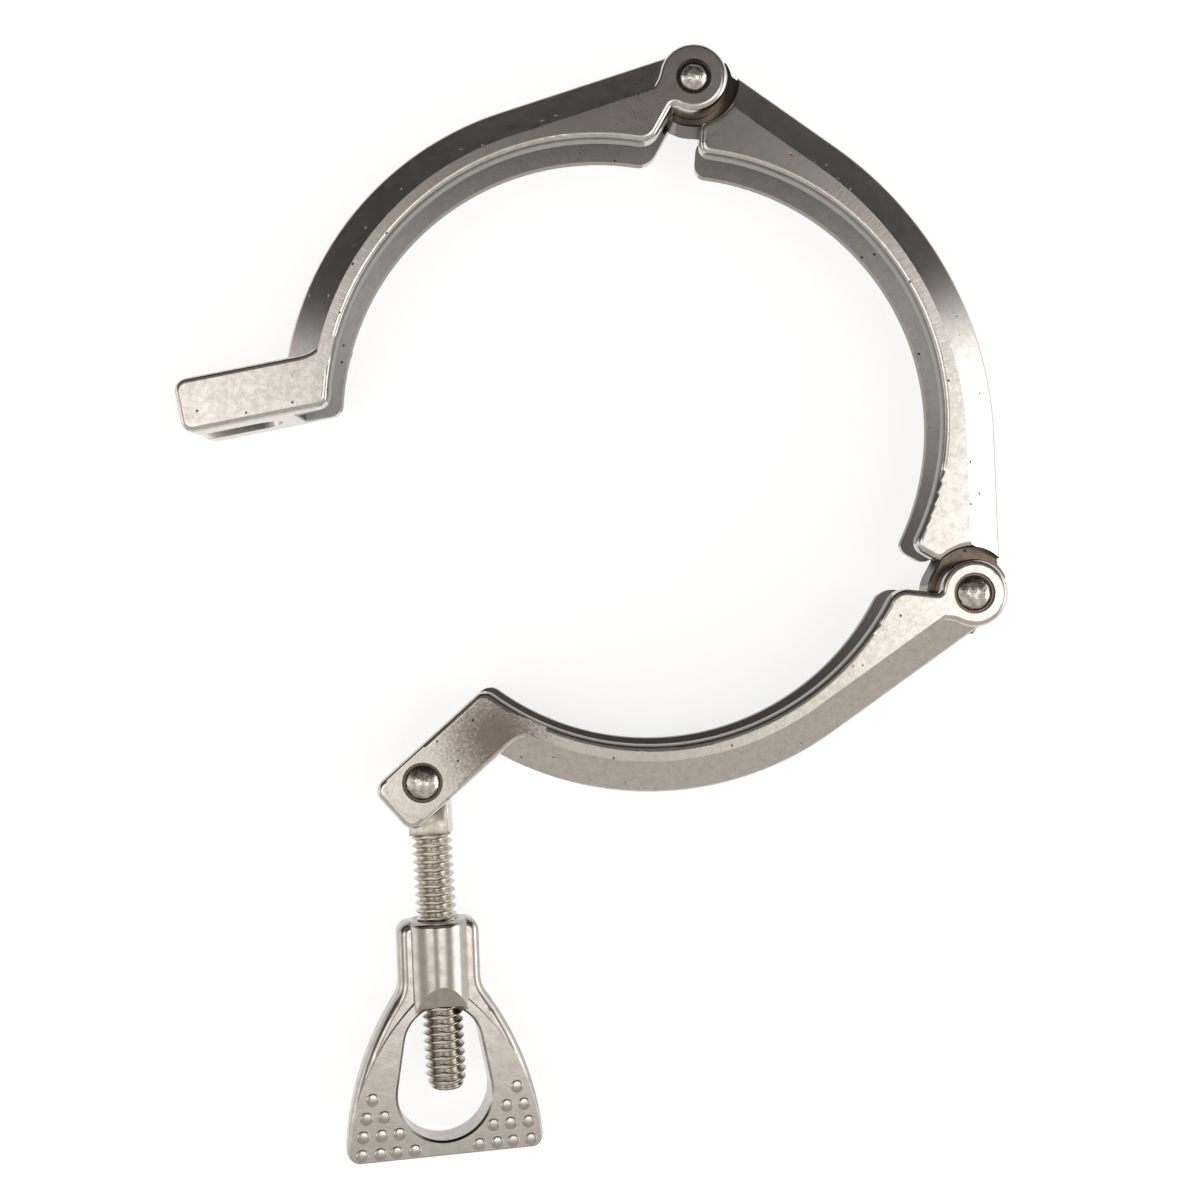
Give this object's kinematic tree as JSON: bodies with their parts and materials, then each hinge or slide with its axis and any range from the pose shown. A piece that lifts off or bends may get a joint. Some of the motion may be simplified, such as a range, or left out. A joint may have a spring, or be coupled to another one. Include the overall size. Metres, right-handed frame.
{
  "type": "sanitary pipe clamp",
  "caption": "Double-hinge ring clamp for sanitary ferrules, open, with a V groove inside, a slotted lug, a swing bolt and a cast wing nut.",
  "frame": {"origin": "centre of the middle segment's groove, in the mid-plane of the clamp", "axes": "+Z along the pipe axis towards the domed rivet heads, +X towards the middle segment, +Y towards the upper hinge; lies on its rear faces"},
  "size_m": [0.1271, 0.1712, 0.0178],
  "materials": {
    "cast_steel": "blasted stainless casting",
    "rivet_steel": "polished",
    "bolt_steel": "satin",
    "nut_steel": "polished"
  },
  "bodies": {
    "middle": {"middle_segment": "cast_steel"},
    "slotted": {"slotted_segment": "cast_steel", "upper_hinge_pin": "rivet_steel"},
    "bolt_side": {"bolt_segment": "cast_steel", "lower_hinge_pin": "rivet_steel", "bolt_pin": "rivet_steel"},
    "bolt": {"swing_bolt": "bolt_steel"},
    "nut": {"wing_nut": "nut_steel"}
  },
  "joints": [
    {"name": "upper_hinge", "type": "hinge", "parent": "middle", "child": "slotted", "pos_m": [0.00283, 0.05222, 0], "axis": [0, 0, 1], "range_deg": [-60, 20.25]},
    {"name": "lower_hinge", "type": "hinge", "parent": "middle", "child": "bolt_side", "pos_m": [0.04538, -0.02599, 0], "axis": [0, 0, -1], "range_deg": [-60, 17.15]},
    {"name": "bolt_swing", "type": "hinge", "parent": "bolt_side", "child": "bolt", "pos_m": [-0.03824, -0.05474, 0], "axis": [0, 0, -1], "range_deg": [-50, 144]},
    {"name": "nut_travel", "type": "slide", "parent": "bolt", "child": "nut", "axis": [0.061, -0.9981, 0], "range_m": [-0.00508, 0.01905]}
  ]
}
